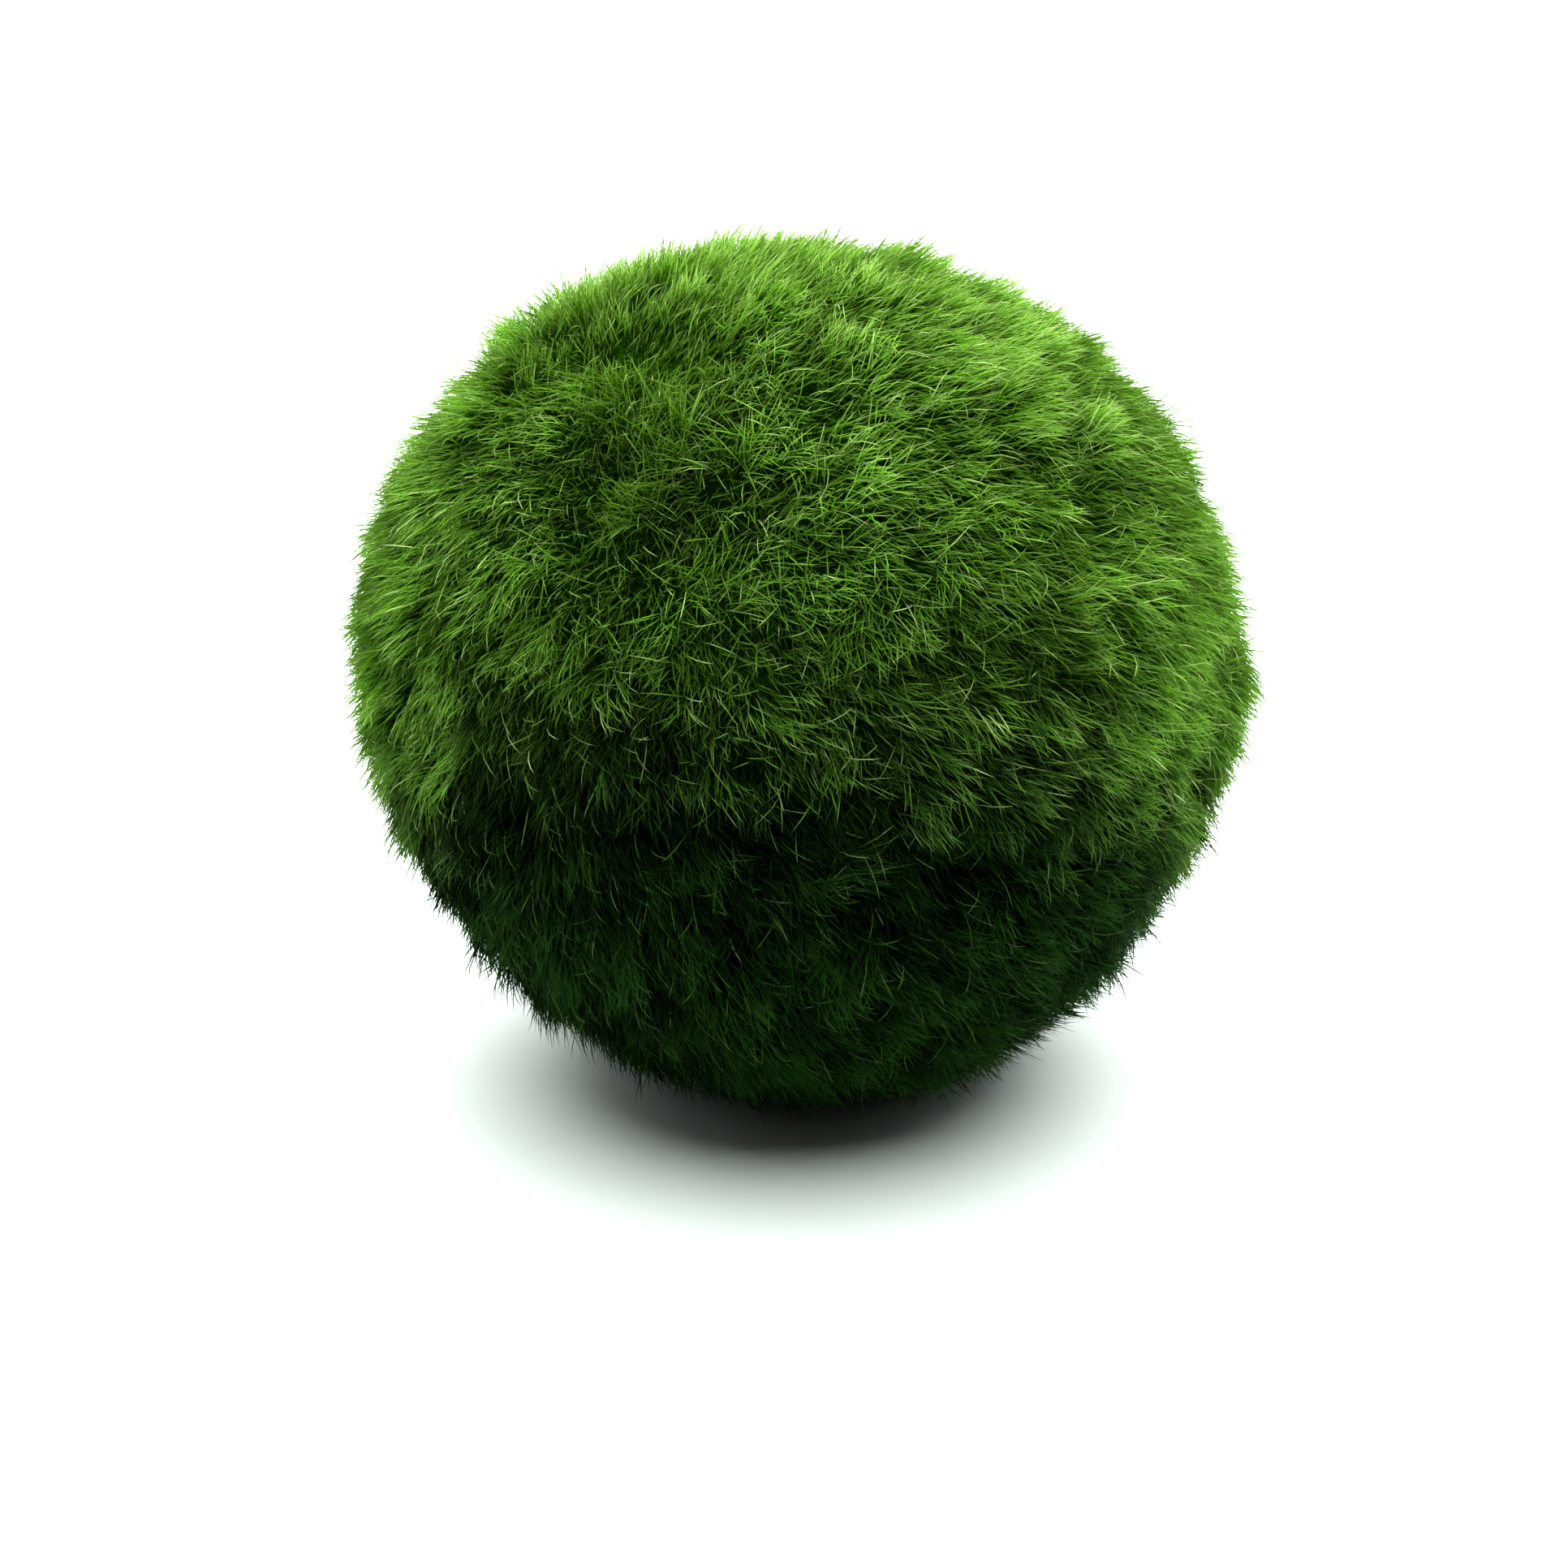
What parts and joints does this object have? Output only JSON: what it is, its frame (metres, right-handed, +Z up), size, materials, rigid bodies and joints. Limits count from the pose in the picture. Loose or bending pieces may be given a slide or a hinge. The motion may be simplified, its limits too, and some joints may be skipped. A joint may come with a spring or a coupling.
{
  "type": "marimo moss ball",
  "caption": "Round ball of fine green filaments of water weed, combed into soft locks, pressed flat underneath where it rests.",
  "frame": {"origin": "middle of the footprint, on the surface that the ball rests on", "axes": "+X to the right of the best side, which looks along -Y; +Z up, out of the flat resting spot"},
  "size_m": [0.0556, 0.0536, 0.0518],
  "materials": {
    "moss": "soft matte filaments, dark between the locks and brighter at the tips"
  },
  "bodies": {
    "root": {"moss_ball": "moss"}
  },
  "joints": []
}
